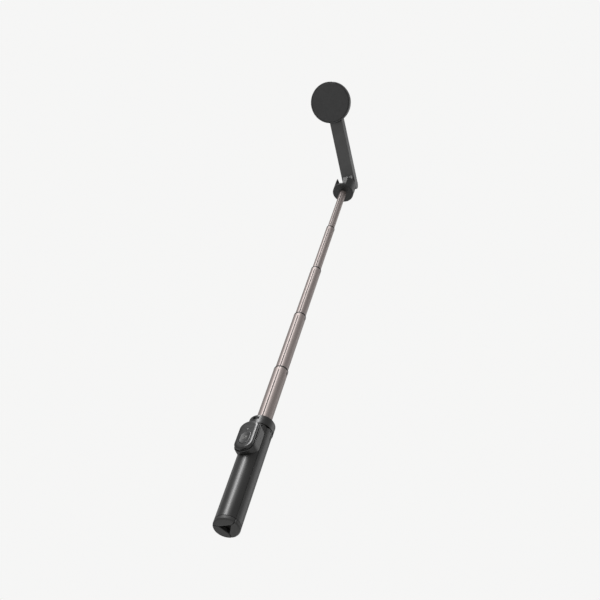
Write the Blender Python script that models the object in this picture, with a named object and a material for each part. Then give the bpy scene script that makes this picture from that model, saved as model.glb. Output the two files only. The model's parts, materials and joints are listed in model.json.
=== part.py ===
"""Telescopic selfie stick with a three-leg handle, a docked remote and a tilting arm with a magnetic puck.

The origin is the centre of the handle's bottom face, +Z runs up the stick and -Y is the side of the remote.
Every size is in millimetres, and to_object turns each drawn mesh into metres.
"""

from math import acos, asin, cos, degrees, radians, sin, sqrt

import bmesh
import bpy
from mathutils import Matrix, Vector

MM = 0.001

# ---- driving dimensions, in millimetres and degrees ----

GAP = 0.3  # between pieces that rest on each other
PLAY = 0.15  # round a pin, a post or a screw
SEAM = 0.4  # between two closed legs
BITE = 0.1  # how far a joined-on piece starts inside its neighbour
OVER = 1.0  # how far a cutter runs past what it cuts

HANDLE_LENGTH = 141.4
HANDLE_DEPTH = 4.6  # from the core tube's surface out to the handle's
CORE_RADIUS = 8.95  # the core tube, fixed in the handle

COLLAR_HEIGHT = 12.1
COLLAR_PROUD = 0.5
COLLAR_SKIN = 0.75
COLLAR_ROOF = 1.9
COLLAR_CHAMFER = 1.3
SLOT_WIDTH = 7.0  # the lanyard slot in the collar's front
SLOT_HEIGHT = 3.2
SLOT_BAR = 3.5  # from the slot up to the collar's top
SLOT_DEPTH = 3.4
SLIT_WIDTH = 1.5  # behind the slot's bar, up through the collar's roof

HINGE_DROP = 2.8  # from the collar's lower edge down to the leg pins
HINGE_INSET = 2.7  # from the handle's surface in to the leg pins
LEG_OPEN = 42.0  # how far the legs swing out
LEG_SKIN = 1.5
LEG_NECK_SKIN = 1.0
LEG_SIDE = 1.3
LEG_RISE = 2.2  # of the leg's skin over its pin
LEG_SHOULDER = 0.872  # half width of the skin at the pin, over the handle's radius
LEG_CREST = 0.72  # the same at the skin's top
LEG_PIN_RADIUS = 0.7
LEG_PIN_PLAY = 0.1
LEG_PIN_INSET = 0.2  # of the pin's ends in the ears
LUG_WIDTH = 5.0
LUG_TIP = 0.45  # from the lug's tip to the leg's skin
LUG_SLOT_FLOOR = 2.4  # of the lug's slot, below the pin
EAR_THICKNESS = 1.8
EAR_DROP = 9.0
EAR_BITE = 0.5
FOOT_HEIGHT = 4.9
FOOT_ROUND = 1.6
FOOT_HOLLOW = 7.4  # from the axis to a corner of the triangular hollow between the feet
PEG_HEIGHT = 7.0
PEG_WIDTH = 10.0
PEG_INSET = 1.2  # from the leg's skin

TUBE_WALL = 0.45
TUBE_SPACE = 0.45  # between a tube's bore and the next tube
TUBE_PLAY = 0.12  # between a tube's mouth, or a bush, and what slides there
TUBE_OVERLAPS = (33.6, 17.4, 17.2, 14.0, 14.6)  # what stays inside at full length
TUBE_PROUD = 0.8  # of each closed tube over the one around it
TUBE_NEST = 4.8  # each closed tube ends this much higher than the one around it
TUBE_WELL = 19.4  # floor under the closed tubes, less one nest step
TUBE_LIP = 1.4
CORE_RISE = 3.3  # from the feet up to the core tube
CORE_PLAY = 0.2
PLUG_SPIGOT = 4.0
BUSH_FLANGE = 2.4
BUSH_HEIGHT = 4.5
BUSH_BORE = 1.3

HEAD_PROUD = 0.4  # of the head over the handle
HEAD_BASE = 4.2
HEAD_CHAMFER = 0.9
HEAD_RIM = 0.5
HEAD_HEIGHT = 22.0
SOCKET_DEPTH = 2.6
SOCKET_PLAY = 0.2
PIN_Y = 6.5
PIN_HEIGHT = 13.0
PIN_RADIUS = 1.7
PIN_HEAD_RADIUS = 2.7
PIN_HEAD = 1.0
PIN_SETBACK = 1.5  # from the slot's side out to the seat of the pin's head
WASHER = 0.35
WASHER_RADIUS = 4.4
HEAD_LUG_WIDTH = 5.6
HEAD_LUG_RADIUS = 3.8
HEAD_LUG_FRONT = 2.8
HEAD_LUG_NECK = 5.0
HEAD_SCREW_RADIUS = 1.25
HEAD_SCREW_HEAD = 2.2
HEAD_SCREW_SINK = 0.8
HEAD_SCREW_LENGTH = 8.0
HEAD_PLUG_LENGTH = 12.0

ARM_ANGLE = 61.5  # forward of straight up, at rest
ARM_WIDTH = 17.8
ARM_LENGTH = 123.6  # from the hinge pin to the puck's axis
ARM_THICKNESS = 10.5
ARM_OFFSET = 19.5  # from the hinge pin back to the arm's front face
ARM_START = 1.5
ARM_HEEL = 8.5  # radius of the heel
ARM_COVER = 1.6
ARM_COVER_START = 16.0
ARM_POCKET = 3.6
ARM_WALL = 1.4
ARM_SPLIT = 0.2  # between the frame and its cover
TONGUE_WIDTH = 14.0
NECK_WAIST = (2.6, 6.8)  # how the neck narrows towards the pin: across, and out of the arm's front face
NECK_KNEE = (13.2, 5.7)  # the bend of the neck's front, along the arm and out of its front face
NECK_BROW = 22.0  # where the neck leaves the arm's front face
TONGUE_RADIUS = 5.6
COVER_SCREW_RADIUS = 1.0
COVER_SCREW_HEAD = 1.8
COVER_SCREW_SINK = 0.9
COVER_SCREW_INSET = 22.0
TOWER_RADIUS = 2.4

PUCK_RADIUS = 28.0
PUCK_THICKNESS = 6.6
PUCK_FLOOR = 1.4
PUCK_WALL = 1.6
PUCK_CLEARANCE = 0.4
PUCK_ROUND = 1.0
PUCK_EDGE = 0.4
YOKE_THICKNESS = 1.0
YOKE_LIP = 1.0
MAGNET_WIDTH = 5.2
PAD_THICKNESS = 1.2
PAD_PROUD = 0.3
POST_RADIUS = 4.0
POST_FLANGE = 6.5
POST_FLANGE_THICKNESS = 1.2

REMOTE_WIDTH = 20.7
REMOTE_LENGTH = 39.2
REMOTE_CORNER = 9.2
REMOTE_THICKNESS = 5.8
REMOTE_WALL = 1.2
REMOTE_FLOOR = 0.8
REMOTE_BASE = 2.3
REMOTE_SPLIT = 0.2
REMOTE_CROWN = 1.3
BUTTON_RADIUS = 6.0
BUTTON_LENGTH = 17.0
BUTTON_FLAT = 0.5  # half of the flat at each end of the button
BUTTON_DROP = 4.7  # below the remote's middle
BUTTON_FLANGE = 0.8
BUTTON_FLANGE_THICKNESS = 0.4
BUTTON_PROUD = 0.2
LED_RADIUS = 0.7
LED_FLANGE = 0.5
LED_RISE = 7.4
CELL_RADIUS = 8.0
CELL_THICKNESS = 1.6
CELL_RISE = 3.0
BOARD_THICKNESS = 0.5
BOARD_PLAY = 0.4
DOME_RADIUS = 2.5
DOME_THICKNESS = 0.25
CRADLE_RIM = 1.4
CRADLE_BED = 1.35  # of the cradle's floor over the handle
CRADLE_PLAY = 0.35
CRADLE_GRIP = 1.9  # how deep the remote sits in its cradle
CRADLE_EDGE = 0.5
CRADLE_BELOW_COLLAR = 2.9
CRADLE_SCREW_RISE = 13.0
CRADLE_SCREW_RADIUS = 0.7
CRADLE_SCREW_HEAD = 1.7

SIDES = 32  # of a turned piece
WIDE_SIDES = 48
SMALL_SIDES = 16

# ---- sizes that follow ----

TUBE_COUNT = len(TUBE_OVERLAPS)
TUBE_RADII = [CORE_RADIUS - i * (TUBE_WALL + TUBE_SPACE) for i in range(TUBE_COUNT + 1)]
HANDLE_RADIUS = CORE_RADIUS + HANDLE_DEPTH
COLLAR_RADIUS = HANDLE_RADIUS + COLLAR_PROUD
COLLAR_BOTTOM = HANDLE_LENGTH - COLLAR_HEIGHT
COLLAR_BORE = COLLAR_RADIUS - COLLAR_SKIN
HINGE_Z = COLLAR_BOTTOM - HINGE_DROP
HINGE_RADIUS = HANDLE_RADIUS - HINGE_INSET
LEG_INNER = CORE_RADIUS + GAP + SEAM / 8
LEG_BOTTOM = FOOT_HEIGHT + GAP
LEG_TOP = HINGE_Z + LEG_RISE
LEG_BORE = HANDLE_RADIUS - LEG_SKIN
NECK_BORE = HANDLE_RADIUS - LEG_NECK_SKIN
LUG_SLOT = LUG_WIDTH + 2 * GAP
EAR_WIDTH = LUG_SLOT + 2 * EAR_THICKNESS
HUB_BOTTOM = HINGE_Z + sqrt(HINGE_INSET**2 + LEG_RISE**2) + GAP
HUB_TOP = HANDLE_LENGTH - COLLAR_ROOF - GAP
HUB_RADIUS = COLLAR_BORE - GAP
HUB_BORE = CORE_RADIUS + CORE_PLAY
CORE_FOOT = FOOT_HEIGHT + CORE_RISE
SLOT_TOP = HANDLE_LENGTH - SLOT_BAR

HEAD_RADIUS = HANDLE_RADIUS + HEAD_PROUD
CHEEK_X = TONGUE_WIDTH / 2 + WASHER + 2 * PLAY
PIN_REACH = CHEEK_X + PIN_SETBACK + BITE
PRONG_GAP = HEAD_LUG_WIDTH + 2 * GAP
ARM_FRONT = -ARM_OFFSET
ARM_BACK = ARM_FRONT - ARM_THICKNESS
ARM_PARTING = ARM_BACK + ARM_COVER
ARM_CEILING = ARM_PARTING + ARM_POCKET
PUCK_TOP = PUCK_CLEARANCE + PUCK_THICKNESS
PUCK_INSIDE = PUCK_CLEARANCE + PUCK_FLOOR
PUCK_BORE = PUCK_RADIUS - PUCK_WALL
CLOSE = GAP - BITE  # beside a magnet, a yoke or a pad

CRADLE_FLOOR = HANDLE_RADIUS + CRADLE_BED
REMOTE_BACK = CRADLE_FLOOR + CLOSE
CRADLE_FACE = REMOTE_BACK + CRADLE_GRIP
REMOTE_Z = COLLAR_BOTTOM - CRADLE_BELOW_COLLAR - CRADLE_RIM - REMOTE_LENGTH / 2
FACE_ON = Matrix.Rotation(radians(90), 4, "X")  # draws x across, y up the stick and z out of the front
SIDE_ON = Matrix(((0, 0, 1, 0), (1, 0, 0, 0), (0, 1, 0, 0), (0, 0, 0, 1)))  # draws y, z and then x
LEGS = (("front", 0), ("right", 120), ("left", 240))


def closed_top(i):
    """The mouth of tube i, closed; tube 0 is the fixed one."""
    return HANDLE_LENGTH + i * TUBE_PROUD


def tube_length(i):
    """From the bottom of tube i's bush to its mouth."""
    return closed_top(i) - (TUBE_WELL + i * TUBE_NEST)


def tube_bottom(i):
    """The bottom of tube i's bush, with the stick at full length."""
    return mouth(i - 1) - TUBE_OVERLAPS[i - 1]


def mouth(i):
    """The mouth of tube i, with the stick at full length."""
    return HANDLE_LENGTH if i == 0 else tube_bottom(i) + tube_length(i)


HEAD_Z = mouth(TUBE_COUNT)


def skin_corner_reach():
    """How far out of the pin the inner edge of an open leg's skin still is."""
    inset = NECK_BORE - HINGE_RADIUS
    reach = sqrt(inset**2 + LEG_RISE**2)
    return reach * cos(acos(inset / reach) + radians(LEG_OPEN))


LEG_NECK_REACH = skin_corner_reach() - GAP

# ---- drawing helpers ----


def arc(cx, cy, radius, start, end, steps):
    """Points on a circle from one angle to another, in degrees, both ends included."""
    turns = [radians(start + (end - start) * i / steps) for i in range(steps + 1)]
    return [(cx + radius * cos(a), cy + radius * sin(a)) for a in turns]


def rounded(width, length, radius, steps=6):
    """The outline of a rounded rectangle about the origin."""
    x, y = width / 2 - radius, length / 2 - radius
    corners = ((x, y, 0), (-x, y, 90), (-x, -y, 180), (x, -y, 270))
    return [p for cx, cy, a in corners for p in arc(cx, cy, radius, a, a + 90, steps)]


def finish_mesh(bm):
    bmesh.ops.recalc_face_normals(bm, faces=bm.faces)
    return bm


def loft(layers):
    """A closed solid through outlines of equal length, each given with its height."""
    bm = bmesh.new()
    rings = [[bm.verts.new((x, y, z)) for x, y in outline] for outline, z in layers]
    for low, high in zip(rings, rings[1:]):
        for i in range(len(low)):
            bm.faces.new((low[i - 1], low[i], high[i], high[i - 1]))
    bm.faces.new(rings[0])
    bm.faces.new(rings[-1])
    return finish_mesh(bm)


def prism(outline, low, high):
    return loft([(outline, low), (outline, high)])


def slab(outline, low, high):
    """A solid between two x values, with its outline drawn in y and z."""
    return turned(prism(outline, low, high), SIDE_ON)


def middle_slab(outline, width):
    return slab(outline, -width / 2, width / 2)


def box(low, high):
    (x0, y0, z0), (x1, y1, z1) = low, high
    return prism([(x0, y0), (x1, y0), (x1, y1), (x0, y1)], z0, z1)


def lathe(profile, sides=SIDES):
    """A closed profile of (radius, z) points, turned about Z; it may touch the axis."""
    bm = bmesh.new()
    turns = [radians(360 * i / sides) for i in range(sides)]
    rings = []
    for radius, z in profile:
        if radius == 0:
            rings.append([bm.verts.new((0, 0, z))] * sides)
        else:
            rings.append([bm.verts.new((radius * cos(a), radius * sin(a), z)) for a in turns])
    for one, two in zip(rings, rings[1:] + rings[:1]):
        for i in range(sides):
            corners = list(dict.fromkeys((one[i - 1], one[i], two[i], two[i - 1])))
            if len(corners) > 2:
                bm.faces.new(corners)
    return finish_mesh(bm)


def stack(steps, sides=SIDES):
    """A solid turned piece of plain steps, each given as (radius, low, high), from the bottom up."""
    profile = [(0, steps[0][1])]
    for radius, low, high in steps:
        profile += [(radius, low), (radius, high)]
    return lathe(profile + [(0, steps[-1][2])], sides)


def disc(radius, low, high, sides=SIDES):
    return stack([(radius, low, high)], sides)


def ring(inner, outer, low, high, sides=SIDES):
    return lathe([(inner, low), (outer, low), (outer, high), (inner, high)], sides)


def turned(bm, matrix):
    bmesh.ops.transform(bm, matrix=matrix, verts=bm.verts)
    return finish_mesh(bm)


def moved(bm, x, y, z):
    return turned(bm, Matrix.Translation((x, y, z)))


def about_z(bm, degree):
    return turned(bm, Matrix.Rotation(radians(degree), 4, "Z"))


def along_x(bm):
    """Turns a piece drawn along Z to lie along X."""
    return turned(bm, Matrix.Rotation(radians(90), 4, "Y"))


def along_y(bm):
    """Turns a piece drawn along Z to lie along -Y."""
    return turned(bm, FACE_ON)


# ---- frames, materials and objects ----

FRAMES = {}
FINISHES = {}


def add_frame(name, parent=None, at=(0, 0, 0), turn=None, drawn=(0, 0, 0)):
    """An empty on a joint. at is its place in the world, and drawn is that point in its parts' own drawing."""
    world = Matrix.Translation(Vector(at) * MM) @ (turn or Matrix.Identity(4))
    empty = bpy.data.objects.new(name + "_joint", None)
    empty.empty_display_size = 10 * MM
    bpy.context.scene.collection.objects.link(empty)
    if parent:
        empty.parent = FRAMES[parent][0]
        empty.matrix_basis = FRAMES[parent][1].inverted() @ world
    else:
        empty.matrix_basis = world
    FRAMES[name] = (empty, world, Vector(drawn))


def add_finish(name, color, roughness, metallic=0.0):
    material = bpy.data.materials.new(name)
    material.use_nodes = True
    shader = material.node_tree.nodes["Principled BSDF"]
    shader.inputs["Base Color"].default_value = (*color, 1.0)
    shader.inputs["Roughness"].default_value = roughness
    shader.inputs["Metallic"].default_value = metallic
    material.diffuse_color = (*color, 1.0)
    FINISHES[name] = material


def to_object(name, bm, frame):
    empty, _, drawn = FRAMES[frame]
    bmesh.ops.translate(bm, vec=-drawn, verts=bm.verts)
    bmesh.ops.scale(bm, vec=(MM, MM, MM), verts=bm.verts)
    mesh = bpy.data.meshes.new(name)
    bm.to_mesh(mesh)
    bm.free()
    obj = bpy.data.objects.new(name, mesh)
    obj.parent = empty
    bpy.context.scene.collection.objects.link(obj)
    return obj


def add_part(name, bm, finish, frame, shapes=()):
    """A sub-part, changed in turn by each (operation, mesh) of shapes."""
    obj = to_object(name, bm, frame)
    for number, (operation, shape) in enumerate(shapes):
        cutter = to_object(f"cutter_{name}_{number}", shape, frame)
        cutter.hide_render = True
        cutter.display_type = "WIRE"
        change = obj.modifiers.new(f"{operation.lower()}_{number}", "BOOLEAN")
        change.operation = operation
        change.solver = "EXACT"
        change.object = cutter
    obj.data.materials.append(FINISHES[finish])
    obj.data.shade_smooth()
    obj.data.set_sharp_from_angle(angle=radians(35))


def cut(*meshes):
    return [("DIFFERENCE", bm) for bm in meshes]


def join(*meshes):
    return [("UNION", bm) for bm in meshes]


def keep(bm):
    return [("INTERSECT", bm)]


def clear_scene():
    for obj in list(bpy.data.objects):
        bpy.data.objects.remove(obj, do_unlink=True)


def make_finishes():
    add_finish("satin_black", (0.035, 0.035, 0.037), 0.42)
    add_finish("collar_black", (0.045, 0.045, 0.047), 0.36)
    add_finish("hub_black", (0.02, 0.02, 0.021), 0.6)
    add_finish("foot_rubber", (0.03, 0.03, 0.031), 0.75)
    add_finish("remote_shell", (0.05, 0.05, 0.052), 0.33)
    add_finish("button_grey", (0.07, 0.07, 0.072), 0.3)
    add_finish("lens_white", (0.8, 0.82, 0.85), 0.2)
    add_finish("tube_metal", (0.46, 0.42, 0.40), 0.3, 1.0)
    add_finish("steel", (0.55, 0.55, 0.56), 0.28, 1.0)
    add_finish("bush_nylon", (0.12, 0.12, 0.12), 0.5)
    add_finish("head_black", (0.04, 0.04, 0.042), 0.45)
    add_finish("arm_grey", (0.07, 0.07, 0.073), 0.4)
    add_finish("puck_black", (0.04, 0.04, 0.042), 0.4)
    add_finish("magnet_nickel", (0.6, 0.6, 0.58), 0.25, 1.0)
    add_finish("pad_silicone", (0.06, 0.06, 0.06), 0.7)
    add_finish("board_green", (0.02, 0.12, 0.05), 0.5)


# ---- the handle's core ----


def lug_outline():
    """The hub's lug over one leg pin, in (y, z) for the front leg; its neck leans in, clear of the open leg."""
    reach = NECK_BORE - LUG_TIP - HINGE_RADIUS
    neck = HINGE_RADIUS + LEG_NECK_REACH
    inside = HUB_BORE + BITE
    shoulder = HINGE_Z + reach + LUG_TIP
    tip = arc(HINGE_RADIUS, HINGE_Z, reach, 60, -90, 8)
    outline = [(neck, HUB_BOTTOM + OVER), (neck, shoulder), *tip]
    outline += [(inside, HINGE_Z - reach + CORE_PLAY), (inside, HUB_BOTTOM + OVER)]
    return [(-y, z) for y, z in outline]


def on_leg_pin(radius, reach):
    """A rod on the front leg's pin axis."""
    return moved(along_x(disc(radius, -reach, reach, SMALL_SIDES)), 0, -HINGE_RADIUS, HINGE_Z)


def pin_hole(width):
    return on_leg_pin(LEG_PIN_RADIUS + LEG_PIN_PLAY, width)


def make_hub(half, front, back):
    lugs = [about_z(middle_slab(lug_outline(), LUG_WIDTH), angle) for _, angle in LEGS]
    holes = [about_z(pin_hole(LUG_WIDTH), angle) for _, angle in LEGS]
    hub = ring(HUB_BORE, HUB_RADIUS, HUB_BOTTOM, HUB_TOP, WIDE_SIDES)
    pocket = box((-half, front, SLOT_TOP - SLOT_HEIGHT), (half, back, HUB_TOP + OVER))
    add_part("hub", hub, "hub_black", "handle", join(*lugs) + cut(*holes, pocket))


def make_collar(half, front, back):
    top, chamfer = HANDLE_LENGTH, COLLAR_CHAMFER
    bore = TUBE_RADII[1] + GAP
    profile = [
        (COLLAR_BORE, COLLAR_BOTTOM),
        (COLLAR_RADIUS, COLLAR_BOTTOM),
        (COLLAR_RADIUS, top - chamfer),
        (COLLAR_RADIUS - chamfer / 2, top - chamfer / 3),
        (COLLAR_RADIUS - chamfer * 3 / 2, top),
        (bore, top),
        (bore, top - COLLAR_ROOF),
        (COLLAR_BORE, top - COLLAR_ROOF),
    ]
    slot = box((-half, front, SLOT_TOP - SLOT_HEIGHT), (half, back, SLOT_TOP))
    slit = box((-half, back - SLIT_WIDTH, SLOT_TOP), (half, back, top + OVER))
    add_part("collar", lathe(profile, WIDE_SIDES), "collar_black", "handle", cut(slot, slit))


def make_core():
    half = SLOT_WIDTH / 2
    front = -COLLAR_RADIUS - OVER
    back = -COLLAR_RADIUS + SLOT_DEPTH
    make_hub(half, front, back)
    make_collar(half, front, back)

    wall = CORE_RADIUS - TUBE_WALL
    lip = TUBE_RADII[1] + TUBE_PLAY
    top = HUB_TOP
    profile = [(wall, CORE_FOOT), (CORE_RADIUS, CORE_FOOT), (CORE_RADIUS, top), (lip, top)]
    profile += [(lip, top - TUBE_LIP), (wall, top - TUBE_LIP)]
    add_part("core_tube", lathe(profile), "steel", "handle")

    low = LEG_BOTTOM + GAP
    shoulder = CORE_FOOT - GAP
    plug = stack([(CORE_RADIUS, low, shoulder), (wall - PLAY, shoulder, CORE_FOOT + PLUG_SPIGOT)])
    add_part("core_plug", plug, "bush_nylon", "handle")

    reach = EAR_WIDTH / 2 - LEG_PIN_INSET
    for name, angle in LEGS:
        add_part(f"leg_pin_{name}", about_z(on_leg_pin(LEG_PIN_RADIUS, reach), angle), "steel", "handle")


# ---- the three legs, drawn with the leg on the -Y side ----


def half_angle(radius, inset):
    """Half of a leg's 120 degrees at a radius, less what an inset from its seam takes."""
    return 60 - degrees(asin((SEAM / 2 + inset) / radius))


def channel():
    """The leg's section: an outer skin with a side wall along each seam, open to the stick's axis."""
    far, near = half_angle(HANDLE_RADIUS, 0), half_angle(LEG_INNER, 0)
    skin, wall = half_angle(LEG_BORE, LEG_SIDE), half_angle(LEG_INNER, LEG_SIDE)
    outside = arc(0, 0, HANDLE_RADIUS, -90 - far, -90 + far, 14)
    right = arc(0, 0, LEG_INNER, -90 + near, -90 + wall, 1)
    inside = arc(0, 0, LEG_BORE, -90 + skin, -90 - skin, 12)
    left = arc(0, 0, LEG_INNER, -90 - wall, -90 - near, 1)
    return outside + right + inside + left


def ears():
    """The two ears that hold the leg's pin, as one block that the hub's lug slot is cut from."""
    near = -LEG_INNER - BITE
    reach = HINGE_RADIUS + near
    skin = -NECK_BORE - EAR_BITE
    outline = [(skin, HINGE_Z - EAR_DROP), (near, HINGE_Z - EAR_DROP)]
    outline += arc(-HINGE_RADIUS, HINGE_Z, reach, 0, 120, 8)
    outline.append((skin, HINGE_Z + reach * sin(radians(60))))
    return middle_slab(outline, EAR_WIDTH)


def shoulder(side):
    """The corner taken off the leg's skin beside its pin, to clear the other legs as it swings."""
    edge = HANDLE_RADIUS * side
    top = LEG_TOP + EAR_BITE
    crest, low = LEG_CREST * edge, LEG_SHOULDER * edge
    outline = [(crest, top), (crest, LEG_TOP), (low, HINGE_Z), (edge, HINGE_Z), (edge, top)]
    return turned(prism(outline, -OVER, HANDLE_RADIUS + OVER), FACE_ON)


def make_leg(name):
    frame = f"leg_{name}"
    top = LEG_TOP + OVER
    half = LUG_SLOT / 2
    skirt = ring(SEAM, NECK_BORE, HINGE_Z - LEG_NECK_SKIN, top, WIDE_SIDES)
    lug_slot = box((-half, BITE / 10 - NECK_BORE, HINGE_Z - LUG_SLOT_FLOOR), (half, 0, top))
    shapes = cut(skirt) + join(ears()) + cut(lug_slot, pin_hole(EAR_WIDTH), shoulder(-1), shoulder(1))
    if name == "front":
        low, high = LEG_BORE - 2 * OVER, HANDLE_RADIUS + OVER
        radius = CRADLE_SCREW_RADIUS + BITE
        shapes += cut(*[moved(along_y(disc(radius, low, high, SMALL_SIDES)), 0, 0, z) for z in cradle_screws()])
    add_part(frame, prism(channel(), LEG_BOTTOM, LEG_TOP), "satin_black", frame, shapes)
    make_foot(name, frame)


def make_foot(name, frame):
    edge = arc(HANDLE_RADIUS - FOOT_ROUND, FOOT_ROUND, FOOT_ROUND, -90, 0, 4)
    blank = lathe([(0, 0), *edge, (HANDLE_RADIUS, FOOT_HEIGHT), (0, FOOT_HEIGHT)], WIDE_SIDES)
    far = 2 * HANDLE_RADIUS
    across, back = sin(radians(60)), -cos(radians(60))
    corner = (FOOT_HOLLOW * across - SEAM / 2, FOOT_HOLLOW * back - SEAM / 2)
    away = (far * across, far * back - SEAM)
    wedge = [corner, away, (away[0], -far), (-away[0], -far), (-away[0], away[1]), (-corner[0], corner[1])]
    half = PEG_WIDTH / 2
    out, near = PEG_INSET - LEG_BORE, -LEG_INNER - GAP
    peg = box((-half, out, FOOT_HEIGHT - OVER), (half, near, FOOT_HEIGHT + PEG_HEIGHT))
    add_part(f"foot_{name}", blank, "foot_rubber", frame, keep(prism(wedge, -OVER, FOOT_HEIGHT + OVER)) + join(peg))


# ---- the remote and its cradle on the front leg, drawn face on ----


def cradle_screws():
    return REMOTE_Z - CRADLE_SCREW_RISE, REMOTE_Z + CRADLE_SCREW_RISE


def pill(inset):
    return rounded(REMOTE_WIDTH - 2 * inset, REMOTE_LENGTH - 2 * inset, REMOTE_CORNER - inset)


def make_cradle():
    rim = pill(-CRADLE_RIM)
    edge = CRADLE_FACE - CRADLE_EDGE
    block = loft([(rim, HANDLE_RADIUS / 2), (rim, edge), (pill(CRADLE_EDGE - CRADLE_RIM), CRADLE_FACE)])
    leg = along_y(disc(HANDLE_RADIUS + GAP, -REMOTE_LENGTH, REMOTE_LENGTH, WIDE_SIDES))
    pocket = prism(pill(-CRADLE_PLAY), CRADLE_FLOOR, CRADLE_FACE + OVER)
    thread, head = CRADLE_SCREW_RADIUS, CRADLE_SCREW_HEAD
    top = CRADLE_FLOOR - BITE
    seat = top - EAR_BITE
    tool = CRADLE_FLOOR + OVER
    shapes = cut(leg, pocket)
    for name, z in zip(("lower", "upper"), cradle_screws()):
        hole = stack([(thread + GAP, 0, seat - CLOSE), (head + CLOSE, seat - CLOSE, tool)], SMALL_SIDES)
        shapes += cut(moved(hole, 0, z - REMOTE_Z, 0))
        screw = stack([(thread, LEG_BORE - 2 * OVER, seat), (head, seat, top)], SMALL_SIDES)
        add_part(f"cradle_screw_{name}", moved(screw, 0, z - REMOTE_Z, 0), "steel", "cradle")
    add_part("remote_cradle", block, "satin_black", "cradle", shapes)


def button_oval(grow):
    """The outline of the shutter button, this far outside its edge."""
    radius = BUTTON_RADIUS + grow
    return rounded(2 * radius, BUTTON_LENGTH + 2 * grow, radius - BUTTON_FLAT)


def make_remote():
    """The remote's layers, from its back (0) to its face, in the order that they are stacked."""
    face = REMOTE_THICKNESS
    split = REMOTE_BASE
    base = loft([(pill(CRADLE_EDGE), 0), (pill(0), CRADLE_EDGE), (pill(0), split)])
    tray = prism(pill(REMOTE_WALL), REMOTE_FLOOR, split + OVER)
    add_part("remote_base", base, "remote_shell", "remote", cut(tray))

    low = REMOTE_FLOOR + BITE
    cell = moved(disc(CELL_RADIUS, low, low + CELL_THICKNESS), 0, CELL_RISE, 0)
    add_part("remote_cell", cell, "steel", "remote")
    low += CELL_THICKNESS + CLOSE
    board = low + BOARD_THICKNESS
    add_part("remote_board", prism(pill(REMOTE_WALL + BOARD_PLAY), low, board), "board_green", "remote")
    low = board + PLAY
    dome = disc(DOME_RADIUS, low, low + DOME_THICKNESS, SMALL_SIDES)
    add_part("remote_switch", moved(dome, 0, -BUTTON_DROP, 0), "steel", "remote")

    roof = face - REMOTE_WALL
    rim = pill(0)
    bevel = REMOTE_CROWN / 3
    layers = [(rim, split + REMOTE_SPLIT), (rim, face - REMOTE_CROWN)]
    layers += [(pill(bevel), face - bevel), (pill(REMOTE_CROWN), face)]
    hollow = prism(pill(REMOTE_WALL), split - OVER, roof)
    button_hole = moved(prism(button_oval(GAP), split, face + OVER), 0, -BUTTON_DROP, 0)
    led_hole = moved(disc(LED_RADIUS + PLAY, split, face + OVER, SMALL_SIDES), 0, LED_RISE, 0)
    add_part("remote_cover", loft(layers), "remote_shell", "remote", cut(hollow, button_hole, led_hole))

    top = roof - PLAY
    led = stack([(LED_RADIUS + LED_FLANGE, low, top), (LED_RADIUS, top, face)], SMALL_SIDES)
    add_part("remote_led", moved(led, 0, LED_RISE, 0), "lens_white", "remote")
    high = face + BUTTON_PROUD
    flange = button_oval(BUTTON_FLANGE)
    button = loft([
        (flange, top - BUTTON_FLANGE_THICKNESS),
        (flange, top),
        (button_oval(0), top),
        (button_oval(0), high - PLAY),
        (button_oval(-GAP), high),
    ])
    add_part("shutter_button", moved(button, 0, -BUTTON_DROP, 0), "button_grey", "button")


# ---- the telescopic tubes ----


def make_tube(i):
    frame = f"tube_{i}"
    outer = TUBE_RADII[i]
    bore = outer - TUBE_WALL
    low = tube_bottom(i)
    step = low + BUSH_FLANGE
    profile = [(bore, step + GAP), (outer, step + GAP)]
    if i < TUBE_COUNT:
        lip = TUBE_RADII[i + 1] + TUBE_PLAY
        top = mouth(i)
        profile += [(outer, top), (lip, top), (lip, top - TUBE_LIP), (bore, top - TUBE_LIP)]
    else:
        top = mouth(i) + SOCKET_DEPTH - GAP
        profile += [(outer, top), (bore, top)]
    add_part(frame, lathe(profile), "tube_metal", frame)
    slide = TUBE_RADII[i - 1] - TUBE_WALL - TUBE_PLAY
    spigot = bore - TUBE_PLAY
    hole = spigot - BUSH_BORE
    top = low + BUSH_HEIGHT
    bush = lathe([(hole, low), (slide, low), (slide, step), (spigot, step), (spigot, top), (hole, top)])
    add_part(f"{frame}_bush", bush, "bush_nylon", frame)


# ---- the head, drawn from the middle of its lower face ----


def on_pin(bm):
    """Puts a piece drawn along Z on the hinge pin's axis."""
    return moved(along_x(bm), 0, PIN_Y, PIN_HEIGHT)


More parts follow.
